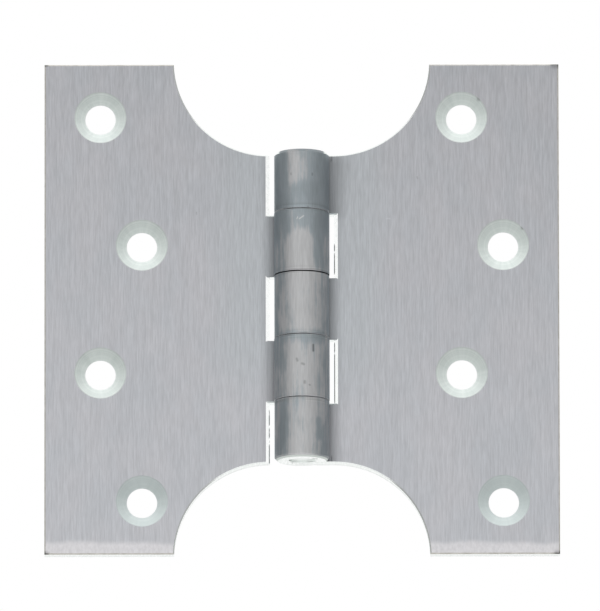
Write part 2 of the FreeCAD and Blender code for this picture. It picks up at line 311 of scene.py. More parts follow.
def places(tree, point):
    """Give how far a point is from the pin sideways, how far back it is, and how high it is."""
    parts = add(tree, "ShaderNodeSeparateXYZ", {0: point}).outputs
    return calc(tree, "ABSOLUTE", parts["X"]), parts["Y"], parts["Z"]


def from_pin(tree, point):
    """Give how far a point is from the pin's axis."""
    flat = vector(tree, "MULTIPLY", point, (1.0, 1.0, 0.0))["Vector"]
    return vector(tree, "LENGTH", flat)["Value"]


print("helpers for colours and places are ready")

# %% Helpers that start and end a group
VECTOR, NUMBER = "NodeSocketVector", "NodeSocketFloat"


def start_group(name, inputs, outputs):
    """Start a shader group, and give its tree, what it is given and the node for its results."""
    tree = bpy.data.node_groups.new(name, "ShaderNodeTree")
    for socket, kind in inputs.items():
        tree.interface.new_socket(name=socket, in_out="INPUT", socket_type=kind)
    for socket in outputs:
        tree.interface.new_socket(name=socket, in_out="OUTPUT", socket_type=NUMBER)
    return tree, tree.nodes.new("NodeGroupInput").outputs, tree.nodes.new("NodeGroupOutput")


def end_group(tree, result, plugs):
    """Wire a group's results, and say what it gives."""
    fill(tree, result, plugs)
    print(tree.name, "gives", ", ".join(plugs))
    return tree


print("helpers for groups are ready")

# %% [markdown]
# ## Brushing
# A belt runs along the barrel and leaves hair lines: a quarter of a millimetre wide, a few millimetres
# long, none straight through. Anisotropic shading could stretch the highlight, but the lines themselves
# would be missing. Noise that is stretched along the barrel gives both the fine lines and longer, fainter
# ones. A third output has the slow clouds that handling and plating leave under the lines. Sizes of noise
# are written as millimetres across and along.

# %% Make the brushing group
HAIR_LINE = (0.26, 3.2)
LONG_LINE = (0.55, 13.0)
SLOW_CLOUD = (8.0, 12.0)
HAIR_SPAN = (0.28, 0.72)


def make_brushing():
    """Hair lines along the barrel and slow clouds, for every brushed or rolled face."""
    tree, given, result = start_group("brushing", {"Point": VECTOR}, ["Lines", "Long Lines", "Clouds"])
    point = given["Point"]
    lines = mottled(tree, point, HAIR_LINE)
    long_lines = mottled(tree, point, LONG_LINE, detail=2.0, rough=0.55)
    clouds = mottled(tree, point, SLOW_CLOUD, rough=0.55)
    return end_group(tree, result, {"Lines": lines, "Long Lines": long_lines, "Clouds": clouds})


def brush(tree, colour, brushed, hair, long):
    """Shade a colour by the hair lines and by the long lines, each by so much either way."""
    lines = stretch(tree, brushed["Lines"], *HAIR_SPAN, 1 - hair, 1 + hair)
    long_lines = spread(tree, brushed["Long Lines"], 1 - long, 1 + long)
    return shade(tree, shade(tree, colour, lines), long_lines)


BRUSHING = make_brushing()

# %% [markdown]
# ## Handling marks
# Hinges are tipped into boxes, and pick up specks and short nicks. They could be modelled, but they are
# shallower than a hair. A Voronoi pattern throws one point into each cell. Only the cells whose random
# colour is low enough keep theirs, which leaves marks far apart and each a little different.

# %% Make the handling marks group
MARK_CELL = (1.7, 3.4)


def make_marks():
    """Sparse specks: one in a few cells, each a little longer along the barrel than across."""
    inputs = {"Point": VECTOR, "Kept": NUMBER, "Size": NUMBER}
    tree, given, result = start_group("handling_marks", inputs, ["Marks"])
    cells = scaled(tree, given["Point"], *MARK_CELL)
    spots = add(tree, "ShaderNodeTexVoronoi", {"Vector": cells, "Scale": 1.0})
    chance = add(tree, "ShaderNodeSeparateColor", {0: spots.outputs["Color"]}).outputs[0]
    kept = calc(tree, "LESS_THAN", chance, given["Kept"])
    shape = stretch(tree, spots.outputs["Distance"], given["Size"], 0.0)
    return end_group(tree, result, {"Marks": times(tree, kept, shape)})


MARKS = make_marks()

# %% [markdown]
# ## One mark in one place
# Some marks in the photograph are clear enough to copy: nicks, specks, smudges, stained patches, lines of
# oil and dark corners. Each is a stroke from one point to another. The group measures how far a point is
# from that stroke, and fades the mark out from its middle line.

# %% Make the single mark group
def make_stroke():
    """One stroke between two points, soft towards its sides."""
    inputs = {"Point": VECTOR, "Start": VECTOR, "End": VECTOR, "Width": NUMBER}
    tree, given, result = start_group("single_mark", inputs, ["Mark"])
    reach = vector(tree, "SUBTRACT", given["Point"], given["Start"])["Vector"]
    stroke = vector(tree, "SUBTRACT", given["End"], given["Start"])["Vector"]
    covered = vector(tree, "DOT_PRODUCT", reach, stroke)["Value"]
    whole = vector(tree, "DOT_PRODUCT", stroke, stroke)["Value"]
    along = calc(tree, "DIVIDE", covered, whole)
    held = calc(tree, "MINIMUM", calc(tree, "MAXIMUM", along, 0.0), 1.0)
    distance = vector(tree, "DISTANCE", reach, grow(tree, stroke, held))["Value"]
    return end_group(tree, result, {"Mark": stretch(tree, distance, given["Width"], 0.0)})


STROKE = make_stroke()

# %% [markdown]
# ## Turning rings
# A countersinking bit turns in the hole and leaves rings about the hole's axis, and where it chatters it
# leaves spokes. A ring texture could be placed at one hole, but there are eight. Both leaves are cut from
# one pattern, turned end for end, so a point is first turned onto the frame leaf by the sign of its x, and
# then measured from whichever of four holes it is near. The hole's own place shifts the spokes, so that
# no two holes have the same ones.

# %% Make the turning rings group
RING_WIDTH = 0.28
NEAR_HOLE = 7.0 * MM
SPOKES = 5.0
SPOKE_SHIFT = 130.0


def turned_noise(tree, radius, width):
    """Give rings of noise, so many millimetres wide, from the distance to an axis."""
    along = add(tree, "ShaderNodeCombineXYZ", {"X": radius}).outputs[0]
    return noise(tree, scaled(tree, along, width, 1.0), detail=2.0)


def make_rings():
    """Rings and spokes about the nearest screw hole, and the distance from its axis in millimetres."""
    tree, given, result = start_group("turning_rings", {"Point": VECTOR}, ["Rings", "Spokes", "Radius"])
    parts = add(tree, "ShaderNodeSeparateXYZ", {0: given["Point"]}).outputs
    side = calc(tree, "SIGN", parts["X"])
    plugs = {"X": times(tree, parts["X"], side), "Z": times(tree, parts["Z"], side)}
    turned = add(tree, "ShaderNodeCombineXYZ", plugs).outputs[0]
    outward = (0.0, 0.0, 0.0)
    for hole_x, hole_z in FRAME_HOLES:
        reach = vector(tree, "SUBTRACT", turned, (hole_x, 0.0, hole_z))["Vector"]
        near = calc(tree, "LESS_THAN", vector(tree, "LENGTH", reach)["Value"], NEAR_HOLE)
        outward = vector(tree, "ADD", grow(tree, reach, near), outward)["Vector"]
    radius = vector(tree, "LENGTH", outward)["Value"]
    middle = vector(tree, "SUBTRACT", given["Point"], outward)["Vector"]
    shift = vector(tree, "MULTIPLY", middle, (SPOKE_SHIFT, 0.0, SPOKE_SHIFT))["Vector"]
    spoke = grow(tree, vector(tree, "NORMALIZE", outward)["Vector"], SPOKES)
    spokes = noise(tree, vector(tree, "ADD", spoke, shift)["Vector"], rough=0.65)
    rings = turned_noise(tree, radius, RING_WIDTH)
    radius_mm = calc(tree, "DIVIDE", radius, MM)
    return end_group(tree, result, {"Rings": rings, "Spokes": spokes, "Radius": radius_mm})


RINGS = make_rings()

# %% [markdown]
# ## Start a finish
# Every finish on this hinge is one shader with a colour, a roughness and a normal from its nodes. The
# helpers start a material with one Principled shader and a point on the piece, place the shared groups and
# wire the ends, so that each finish below only says what is special to it.

# %% Helpers that start and end a finish
def start_finish(name):
    """Start a material, and give it, its tree and the point on the piece."""
    finish = bpy.data.materials.new(name)
    finish.use_nodes = True
    tree = finish.node_tree
    return finish, tree, add(tree, "ShaderNodeTexCoord").outputs["Object"]


def bump(tree, height, depth):
    """Turn a height that is so many millimetres deep into a normal."""
    plugs = {"Strength": 1.0, "Distance": depth * MM, "Height": height}
    return add(tree, "ShaderNodeBump", plugs).outputs[0]


def end_finish(finish, colour, rough, metal, normal):
    """Fill the shader of a finish, and say how many nodes it took."""
    tree = finish.node_tree
    plugs = {"Base Color": colour, "Roughness": rough, "Metallic": metal, "Normal": normal}
    fill(tree, tree.nodes["Principled BSDF"], plugs)
    print(finish.name, "has", len(tree.nodes), "nodes")
    return finish


def shared(tree, group, **plugs):
    """Place a shared group in a finish, and give its outputs by name."""
    return add(tree, "ShaderNodeGroup", plugs, node_tree=group).outputs


def join_marks(tree, point, strokes):
    """Join single marks, each given by two points and a width."""
    joined = 0.0
    for start, end, width in strokes:
        mark = shared(tree, STROKE, Point=point, Start=start, End=end, Width=width)["Mark"]
        joined = calc(tree, "MAXIMUM", mark, joined)
    return joined


def marks_on(tree, point, surface, seen):
    """Join marks on the barrel or a leaf, each seen between two pixels and so many millimetres wide."""
    strokes = [(surface(*start), surface(*end), width * MM) for start, end, width in seen]
    return join_marks(tree, point, strokes)


print("helpers for finishes are ready")

# %% [markdown]
# ## Dark corners
# The outer corners of the leaves are bare of plating and black with handling, the top one on the frame
# leaf most of all. They could be painted by distance from each corner alike, but no two of them are alike
# in the photograph. So each gets one mark of its own, which starts at the corner and runs in along the end
# of the leaf. Both the satin face and its edge wear it.

# %% List the dark corners
CORNER_MARKS = [
    {"side": 1, "end": 1, "along": 0.8 * MM, "width": 1.6 * MM},
    {"side": 1, "end": -1, "along": 0.6 * MM, "width": 1.3 * MM},
    {"side": -1, "end": 1, "along": 0.4 * MM, "width": 0.8 * MM},
    {"side": -1, "end": -1, "along": 0.4 * MM, "width": 1.1 * MM},
]


def corner_strokes():
    """Give the mark of every corner as two points and a width."""
    strokes = []
    for mark in CORNER_MARKS:
        corner = (mark["side"] * LEAF_SIDE, FRONT_LEVEL, mark["end"] * LEAF_END)
        inner = (mark["side"] * (LEAF_SIDE - mark["along"]), FRONT_LEVEL, mark["end"] * LEAF_END)
        strokes.append((corner, inner, mark["width"]))
    return strokes


DARK_CORNERS = corner_strokes()
print(len(DARK_CORNERS), "dark corners")

# %% [markdown]
# ## The satin face
# The front is brushed all over. About two millimetres at the foot of each leaf are paler and mottled, and
# carry no hair lines in their colour. Beside the barrel the face carries painted shade, and further out it
# has a faint green cast. It could be one grey with a bump, but in the photograph the lines are seen as
# light and dark hairs, so they are in the colour first, then in the roughness, and only a little in the
# height.
# The dark corners, a few smudges and one pale scuff lie over it where they are seen.

# %% Brush the steel
SATIN_DARK, SATIN_PALE = rgb(0.566, 0.581, 0.612), rgb(0.594, 0.598, 0.626)
GREEN_CAST = rgb(0.567, 0.592, 0.619)
CAST_FULL, CAST_GONE = 11.5 * MM, 20.0 * MM
CAST_FOOT, CAST_TOP = -21.0 * MM, -7.0 * MM
ROOT_DARK, ROOT_CLEAR = BARREL_RADIUS - 0.9 * MM, BARREL_RADIUS + 3.2 * MM
ROOT_PAINTED_SHADE = 0.45


def satin_steel(tree, point, brushed):
    """Brushed steel with slow clouds, painted shade at the barrel and faintly green beside it."""
    across, _, level = places(tree, point)
    steel = tint(tree, spread(tree, brushed["Clouds"]), SATIN_DARK, SATIN_PALE)
    near_pin = stretch(tree, across, CAST_FULL, CAST_GONE, 1.0, 0.0)
    cast = times(tree, near_pin, stretch(tree, level, CAST_FOOT, CAST_TOP))
    steel = brush(tree, tint(tree, cast, steel, GREEN_CAST), brushed, hair=0.09, long=0.045)
    # Painted shade: the face beside the barrel is darkened to under half its tone.
    return shade(tree, steel, stretch(tree, across, ROOT_DARK, ROOT_CLEAR, ROOT_PAINTED_SHADE, 1.0))


print("the green cast ends", round(CAST_GONE / MM, 1), "mm from the pin")

# %% Make the pale band at the foot
FOOT_PALE_TONE = rgb(0.775, 0.765, 0.785)
FOOT_PALE_FULL, FOOT_PALE_GONE = 3.0 * MM, 4.4 * MM
FOOT_WANDER = 2.6 * MM
FOOT_WAVE = (9.0, 60.0)
MOTTLE = (0.5, 0.9)
MOTTLE_SHADES = (0.94, 1.05)


def pale_foot_band(tree, point):
    """Give the pale band at the foot of a leaf, on a wandering line, and its mottled tone."""
    _, _, level = places(tree, point)
    wave = mottled(tree, point, FOOT_WAVE)
    raised = calc(tree, "MULTIPLY_ADD", wave, FOOT_WANDER, calc(tree, "ADD", level, LEAF_END))
    mottle = mottled(tree, point, MOTTLE, rough=0.5)
    plating = shade(tree, FOOT_PALE_TONE, spread(tree, mottle, *MOTTLE_SHADES))
    return stretch(tree, raised, FOOT_PALE_GONE, FOOT_PALE_FULL), plating


print("the edge of the plated foot wanders by", round(FOOT_WANDER / MM, 1), "mm")

# %% Make the satin face
SMUDGES = [
    ((342.0, 165.0), (338.0, 211.0), 3.2),
    ((333.5, 206.0), (335.5, 212.0), 0.9),
    ((417.4, 176.8), (417.8, 178.4), 0.3),
    ((196.4, 212.0), (196.7, 214.0), 0.25),
]
PALE_SCUFFS = [((387.4, 218.6), (390.0, 218.6), 0.3)]
CORNER_SHADE, SMUDGE_SHADE, SCUFF_SHADE = 0.62, 0.82, 1.15
SATIN_ROUGH = (0.35, 0.42)


def make_satin_face():
    """Satin steel with its pale foot, its dark corners and its marks."""
    finish, tree, point = start_finish("satin_face")
    brushed = shared(tree, BRUSHING, Point=point)
    pale_band, plating = pale_foot_band(tree, point)
    colour = tint(tree, pale_band, satin_steel(tree, point, brushed), plating)
    colour = shade_marks(tree, colour, join_marks(tree, point, DARK_CORNERS), CORNER_SHADE)
    colour = shade_marks(tree, colour, marks_on(tree, point, on_leaf, SMUDGES), SMUDGE_SHADE)
    colour = shade_marks(tree, colour, marks_on(tree, point, on_leaf, PALE_SCUFFS), SCUFF_SHADE)
    rough = spread(tree, brushed["Lines"], *SATIN_ROUGH)
    return end_finish(finish, colour, rough, metal=1.0, normal=bump(tree, brushed["Lines"], depth=0.003))


SATIN_FACE = make_satin_face()

# %% [markdown]
# ## The rolled knuckles
# Rolling opens the skin of the sheet and bruises the plating, so the barrel is darker than the leaves,
# clouded, and not quite round. A smooth cylinder would show one clean bright stripe. Here a low, long
# height bends that stripe, and blue-grey stains cover the whole top knuckle and the head of the next one,
# apart from two patches that were rubbed clean. The same blue-grey, growing towards the flanks, is painted
# shade, and the darkening at the third joint is painted shade as well as stain. The chamfers at the ends
# of the barrel carry painted shade, all over at the top and towards the flanks at the foot. The top one has
# a painted reflection in pale plating at its sides, and the bottom one is pale along its lower edge. Fine
# rings beside each joint are left by the tool that faced the knuckles' ends.

# %% Stain the barrel
CLEAN_PATCHES = [((292.0, 150.0), (295.0, 178.0), 2.4), ((301.0, 240.0), (301.0, 275.0), 3.6)]
BLUE_PATCHES = [
    ((319.0, 420.0), (319.0, 436.0), 1.2),
    ((311.0, 190.0), (313.0, 205.0), 3.0),
    ((318.0, 216.0), (318.0, 262.0), 2.2),
    ((284.0, 405.0), (284.0, 450.0), 2.0),
    # These two strokes by the third joint are painted shade as well as stain.
    ((284.0, 337.0), (300.0, 336.0), 2.4),
    ((304.0, 336.0), (319.0, 337.0), 2.4),
]
STAIN_CLOUD = (2.4, 5.5)
CLOUD_STAIN, FLANK_PAINTED_SHADE, BLUE_STAIN, CLEAN_STAIN = 0.7, 0.22, 0.22, -0.3
TOP_FROM, TOP_FULL = 11.0 * MM, 17.5 * MM
TOP_STAIN = (0.13, 0.4)
STREAK_SPAN = (0.25, 0.75)
STREAK_STAIN = (-0.13, 0.13)


def stain_and_shade_cover(tree, point, brushed):
    """Give how far the stain and the painted shade on the flanks have gone at a point of the barrel."""
    across, _, level = places(tree, point)
    cloud = mottled(tree, point, STAIN_CLOUD)
    # The flank term is painted shade: it blues and darkens the barrel towards its sides.
    flank_shade = calc(tree, "POWER", calc(tree, "DIVIDE", across, BARREL_RADIUS), 2.0)
    blue = marks_on(tree, point, on_barrel, BLUE_PATCHES)
    clean = marks_on(tree, point, on_barrel, CLEAN_PATCHES)
    patterns = [(cloud, CLOUD_STAIN), (flank_shade, FLANK_PAINTED_SHADE), (blue, BLUE_STAIN), (clean, CLEAN_STAIN)]
    cover = stretch(tree, level, TOP_FROM, TOP_FULL, *TOP_STAIN)
    for pattern, share in patterns:
        cover = calc(tree, "MULTIPLY_ADD", pattern, share, cover)
    return calc(tree, "ADD", cover, stretch(tree, brushed["Long Lines"], *STREAK_SPAN, *STREAK_STAIN))


print(len(BLUE_PATCHES), "stained patches and", len(CLEAN_PATCHES), "clean ones")

# %% Ring the joints
FACED_FROM, FACED_FULL = 1.1 * MM, 0.2 * MM
FACED_RING = (9.0, 0.24)
FACED_SPAN = (0.35, 0.65)
FACED_SHADES = (-0.2, 0.07)


def faced_rings(tree, point):
    """Give the shade of the fine rings beside the joints."""
    _, _, level = places(tree, point)
    from_joint = calc(tree, "SUBTRACT", calc(tree, "ABSOLUTE", level), JOINT_LEVEL)
    beside = stretch(tree, calc(tree, "PINGPONG", from_joint, JOINT_LEVEL), FACED_FROM, FACED_FULL)
    rings = mottled(tree, point, FACED_RING, detail=2.0, rough=0.5)
    return calc(tree, "MULTIPLY_ADD", stretch(tree, rings, *FACED_SPAN, *FACED_SHADES), beside, 1.0)


print("the middle joints are", round(JOINT_LEVEL / MM, 2), "mm from the middle of the barrel")

# %% Speck and nick the barrel
BRIGHT_NICKS = [((299.6, 218.6), (303.6, 215.8), 0.24), ((297.0, 218.7), (297.8, 216.8), 0.18)]
DARK_DASH = [((313.2, 344.8), (313.2, 350.6), 0.36)]
DARK_SPECKS = [
    ((296.7, 358.6), (297.4, 360.4), 0.4),
    ((302.0, 363.3), (303.8, 364.0), 0.42),
    ((304.6, 381.0), (304.6, 382.6), 0.4),
    ((309.2, 384.5), (309.9, 384.8), 0.3),
    ((291.0, 173.0), (291.2, 174.6), 0.22),
    ((312.6, 173.4), (312.6, 174.8), 0.34),
    ((308.0, 206.4), (308.2, 207.6), 0.34),
]
SPECK_SHARE, DASH_SHARE, NICK_SHARE = 0.36, 0.7, 0.8
SPECK_BLACK, NICK_BRIGHT = rgb(0.1, 0.105, 0.11), rgb(0.8, 0.81, 0.79)


def speck_barrel(tree, point, steel):
    """Put dark specks, one dark dash and two bright nicks on the barrel's steel."""
    strewn = shared(tree, MARKS, Point=point, Kept=0.05, Size=0.1)["Marks"]
    specks = calc(tree, "MAXIMUM", strewn, marks_on(tree, point, on_barrel, DARK_SPECKS))
    dash = times(tree, marks_on(tree, point, on_barrel, DARK_DASH), DASH_SHARE)
    dark = calc(tree, "MAXIMUM", times(tree, specks, SPECK_SHARE), dash)
    nicks = times(tree, marks_on(tree, point, on_barrel, BRIGHT_NICKS), NICK_SHARE)
    return tint(tree, nicks, tint(tree, dark, steel, SPECK_BLACK), NICK_BRIGHT)


print(len(DARK_SPECKS), "dark specks and", len(BRIGHT_NICKS), "bright nicks")

# %% Paint shade and pale places on the chamfers
RIM = 0.66 * MM
RIM_PAINTED_SHADE = 0.72
RIM_FRONT, RIM_FLANK = 0.5 * MM, 4.6 * MM
REFLECTED_SIDE = 5.0 * MM
REFLECTION_GONE, REFLECTION_FULL = 0.8 * MM, 0.3 * MM
LOW_EDGE_GONE, LOW_EDGE_FULL = 0.4 * MM - BARREL_END, 0.25 * MM - BARREL_END
RIM_PALE = rgb(0.86, 0.92, 0.88)


def paint_chamfers(tree, point, colour):
    """Paint shade on the chamfers, a reflection at the top one's sides and a pale lower edge, and give the
    colour and where it is pale.
    """
    across, _, level = places(tree, point)
    on_rim = calc(tree, "GREATER_THAN", calc(tree, "ABSOLUTE", level), BARREL_END - RIM)
    at_top = stretch(tree, level, 0.0, RIM)
    at_flanks = stretch(tree, across, RIM_FRONT, RIM_FLANK)
    # Painted shade: the top chamfer, and the foot chamfer towards its flanks, are darkened.
    rim_shaded = shade_marks(tree, colour, calc(tree, "MAXIMUM", at_top, at_flanks), RIM_PAINTED_SHADE)
    from_side = calc(tree, "ABSOLUTE", calc(tree, "SUBTRACT", across, REFLECTED_SIDE))
    # Painted reflection: the top chamfer's sides turn to pale plating.
    reflected_sides = times(tree, stretch(tree, from_side, REFLECTION_GONE, REFLECTION_FULL), at_top)
    low_edge = stretch(tree, level, LOW_EDGE_GONE, LOW_EDGE_FULL)
    pale_rim = times(tree, calc(tree, "MAXIMUM", reflected_sides, low_edge), on_rim)
    return tint(tree, pale_rim, tint(tree, on_rim, colour, rim_shaded), RIM_PALE), pale_rim


print("the chamfers are", round(RIM / MM, 2), "mm tall")

# %% Make the rolled knuckles
KNUCKLE_STEEL, STAINED_AND_SHADED_STEEL = rgb(0.667, 0.672, 0.678), rgb(0.442, 0.493, 0.521)
STAIN_SPAN = (0.47, 0.77)
DEEP_SPAN = (0.75, 1.0)
DEEP_SHADE = 0.9
KNUCKLE_SPAN, KNUCKLE_ROUGH = (0.5, 0.8), (0.58, 0.52)
PALE_RIM_METAL = 0.2
ROLLED_WAVE = (3.2, 12.0)
LINE_SHARE = 0.1


def make_rolled_knuckle():
    """Clouded, slightly uneven steel with a long grain, stains and painted shade, specks and nicks."""
    finish, tree, point = start_finish("rolled_knuckle")
    brushed = shared(tree, BRUSHING, Point=point)
    cover = stain_and_shade_cover(tree, point, brushed)
    steel = tint(tree, stretch(tree, cover, *STAIN_SPAN), KNUCKLE_STEEL, STAINED_AND_SHADED_STEEL)
    steel = shade(tree, steel, stretch(tree, cover, *DEEP_SPAN, 1.0, DEEP_SHADE))
    steel = shade(tree, steel, faced_rings(tree, point))
    steel = brush(tree, steel, brushed, hair=0.06, long=0.04)
    colour, pale_rim = paint_chamfers(tree, point, speck_barrel(tree, point, steel))
    rough = stretch(tree, cover, *KNUCKLE_SPAN, *KNUCKLE_ROUGH)
    metal = stretch(tree, pale_rim, 0.0, 1.0, 1.0, PALE_RIM_METAL)
    uneven = mottled(tree, point, ROLLED_WAVE, detail=1.5, rough=0.5)
    height = calc(tree, "MULTIPLY_ADD", brushed["Lines"], LINE_SHARE, uneven)
    return end_finish(finish, colour, rough, metal=metal, normal=bump(tree, height, depth=0.03))


ROLLED_KNUCKLE = make_rolled_knuckle()

# %% [markdown]
# ## The oiled joints
# Between two knuckles there is a gap as thin as card, and the grease from the pin gathers there. Left in
# the plating's own shine, the joints would be pale rings. In the photograph they are dark hair lines, and
# the second from the top is the darkest. So the ends of the knuckles get a greasy finish of their own: a
# thin pale film over half-dulled metal, which the gap itself darkens, and black grease at that one joint.
# The same flat end reaches out to the slot beside the barrel, where no grease comes, so there it is bare
# plating.

# %% Make the oiled joints
SOAKED_PIXEL = (301.6, 270.5)
SOAKED_LEVEL = on_barrel(*SOAKED_PIXEL)[2]
SOAK_GONE, SOAK_FULL = 2.0 * MM, 1.0 * MM
BARE_FROM, BARE_FULL = BARREL_RADIUS, BARREL_RADIUS + 0.1 * MM
FILM_MARK = (1.2, 1.2)
FILM_SPAN = (0.35, 0.7)
THIN_FILM = rgb(0.7, 0.71, 0.72), rgb(0.86, 0.87, 0.88)
BLACK_GREASE = rgb(0.02, 0.022, 0.024), rgb(0.08, 0.085, 0.09)
BARE_PLATING = rgb(0.9, 0.94, 0.92)
FILM_METAL = 0.5
OILED_SPAN, OILED_ROUGH = (-0.5, 0.7), (0.2, 0.6)


def make_oiled_joint():
    """A thin film of grease, black at the soaked joint, and bare plating outside the barrel."""
    finish, tree, point = start_finish("oiled_joint")
    _, _, level = places(tree, point)
    film = mottled(tree, point, FILM_MARK)
    thickness = stretch(tree, film, *FILM_SPAN)
    from_soaked = calc(tree, "ABSOLUTE", calc(tree, "SUBTRACT", level, SOAKED_LEVEL))
    soaked = stretch(tree, from_soaked, SOAK_GONE, SOAK_FULL)
    grease = tint(tree, soaked, tint(tree, thickness, *THIN_FILM), tint(tree, thickness, *BLACK_GREASE))
    outside = stretch(tree, from_pin(tree, point), BARE_FROM, BARE_FULL)
    colour = tint(tree, outside, grease, BARE_PLATING)
    metal = stretch(tree, outside, 0.0, 1.0, FILM_METAL, 1.0)
    rough = stretch(tree, calc(tree, "SUBTRACT", film, outside), *OILED_SPAN, *OILED_ROUGH)
    return end_finish(finish, colour, rough, metal=metal, normal=bump(tree, film, depth=0.01))


OILED_JOINT = make_oiled_joint()

# %% [markdown]
# ## The countersinks
# The belt can't reach into a countersink, so it keeps its plating: pale, cool and faintly green, and duller
# than the face. Plain metal would turn dark wherever it mirrors a dark side, so the plating is only partly
# metallic. The bit's rings lie over it, with spokes where it chattered. The lowest countersinks are bluer
# than the others and a little darker with painted shade, and two on the frame leaf have a dark nick at the
# rim.

# %% Make the countersinks' plating
RING_SHARE, SPOKE_SHARE = 0.65, 0.35
SINK_PLATING = rgb(0.66, 0.725, 0.7), rgb(0.85, 0.9, 0.875)
SINK_INNER, SINK_OUTER = 3.2, 4.4
SINK_SHADES = (1.06, 0.98)
RIM_FROM, RIM_FULL = 4.95, 5.15
SINK_RIM_SHADE = 0.8
BLUE_LEVEL, CLEAR_LEVEL = -33.0 * MM, -18.0 * MM
BLUE_SHADE_SHARE = 0.45
BLUE_SHADED_PLATING = rgb(0.56, 0.63, 0.645)
SINK_NICKS = [((477.4, 100.6), (478.8, 99.2), 0.8), ((520.8, 229.8), (522.4, 228.2), 0.65)]
SINK_NICK_SHADE = 0.6
SINK_ROUGH = (0.48, 0.38)


def make_plated_sink():
    """Pale plating with turning rings, a little darker along the rim, and bluer with painted shade low on
    the leaf.
    """
    finish, tree, point = start_finish("plated_sink")
    turned = shared(tree, RINGS, Point=point)
    _, _, level = places(tree, point)
    rings = times(tree, turned["Rings"], RING_SHARE)
    cut = calc(tree, "MULTIPLY_ADD", turned["Spokes"], SPOKE_SHARE, rings)
    colour = tint(tree, spread(tree, cut), *SINK_PLATING)
    colour = shade(tree, colour, stretch(tree, turned["Radius"], SINK_INNER, SINK_OUTER, *SINK_SHADES))
    at_rim = stretch(tree, turned["Radius"], RIM_FROM, RIM_FULL, 1.0, SINK_RIM_SHADE)
    # Painted shade: low on the leaf the plating turns darker as well as bluer.
    blued_and_shaded = stretch(tree, level, BLUE_LEVEL, CLEAR_LEVEL, BLUE_SHADE_SHARE, 0.0)
    colour = tint(tree, blued_and_shaded, shade(tree, colour, at_rim), BLUE_SHADED_PLATING)
    colour = shade_marks(tree, colour, marks_on(tree, point, on_leaf, SINK_NICKS), SINK_NICK_SHADE)
    rough = spread(tree, cut, *SINK_ROUGH)
    return end_finish(finish, colour, rough, metal=0.12, normal=bump(tree, cut, depth=0.012))


PLATED_SINK = make_plated_sink()

# %% [markdown]
# ## The sheared edges
# Where the press cut the sheet, in the quarter-rounds, along the foot and at the ends of the barrel, the
# bright plating has never been rubbed. It mirrors the white room almost fully, with a trace of green. The
# blade cuts the front of the sheet and tears the rest, so fine lines run through its thickness and the back
# part is a little duller. On the foot of the barrel, beside the pin, lies one dark spot of painted shadow.

# %% Make the sheared edges
SHEAR_GRAIN = (1 / (0.35 * MM), 1 / (2.5 * MM), 1 / (0.35 * MM))
SHEAR_PLATING = rgb(0.87, 0.91, 0.885), rgb(0.95, 0.975, 0.96)
CUT_SHARE = 0.4
SHEAR_TEAR = FRONT_LEVEL + (BACK_LEVEL - FRONT_LEVEL) * CUT_SHARE
TEAR_FROM, TEAR_FULL = SHEAR_TEAR - 0.1 * MM, SHEAR_TEAR + 0.3 * MM
TEAR_SHADE = 0.92
PIN_GAP_SHADOW = [((2.2 * MM, -2.6 * MM, -BARREL_END), (2.9 * MM, -2.3 * MM, -BARREL_END), 0.45 * MM)]
PIN_GAP_SHADOW_SHARE = 0.9
PIN_GAP_SHADOW_BLACK = rgb(0.08, 0.09, 0.09)
SHEAR_ROUGH = (0.26, 0.2)


def make_sheared_edge():
    """Bright plating with a faint grain through the sheet, a little duller where the sheet tore."""
    finish, tree, point = start_finish("sheared_edge")
    _, depth, _ = places(tree, point)
    grain = vector(tree, "MULTIPLY", point, SHEAR_GRAIN)["Vector"]
    fine = noise(tree, grain)
    plating = tint(tree, spread(tree, fine), *SHEAR_PLATING)
    plating = shade(tree, plating, stretch(tree, depth, TEAR_FROM, TEAR_FULL, 1.0, TEAR_SHADE))
    # Painted shadow: one dark spot on the foot of the barrel, beside the pin.
    pin_gap_shadow = times(tree, join_marks(tree, point, PIN_GAP_SHADOW), PIN_GAP_SHADOW_SHARE)
    colour = tint(tree, pin_gap_shadow, plating, PIN_GAP_SHADOW_BLACK)
    rough = spread(tree, fine, *SHEAR_ROUGH)
    return end_finish(finish, colour, rough, metal=1.0, normal=bump(tree, fine, depth=0.004))


SHEARED_EDGE = make_sheared_edge()

# %% [markdown]
# ## The slots
# The bevel beside each knuckle is bright plating too. The punch rolled it over softly, so it mirrors the
# room in front as the leaf does, where a hard bevel would mirror only the dark barrel. So its normal is
# laid over towards the front of its own leaf. In three slots a dark line of painted shade lies where the
# bevel meets the wall. Each is put where it is seen, and noise breaks it up.

# %% Make the slots' bevels
SHADE_RUNS = [
    ((336.0, 350.0), (336.0, 398.0), 3.0),
    ((269.5, 418.0), (270.0, 456.0), 3.0),
    ((335.0, 252.0), (335.0, 266.0), 3.0),
]
RUN_SPAN = (0.2, 0.5)
SHADE_LINE = 0.3 * MM
SHADE_BREAK = (1.0, 1.6)
BREAK_SPAN = (0.36, 0.5)
SLOT_SHADE_BLACK = rgb(0.1, 0.12, 0.12)
BEVEL_MARK = (0.7, 0.7)
BEVEL_PLATING = rgb(0.955, 0.98, 0.97), rgb(0.985, 0.995, 0.99)
BEVEL_ROUGH = (0.18, 0.12)
FRONTWARD = (0.0, -1.0, 0.0)


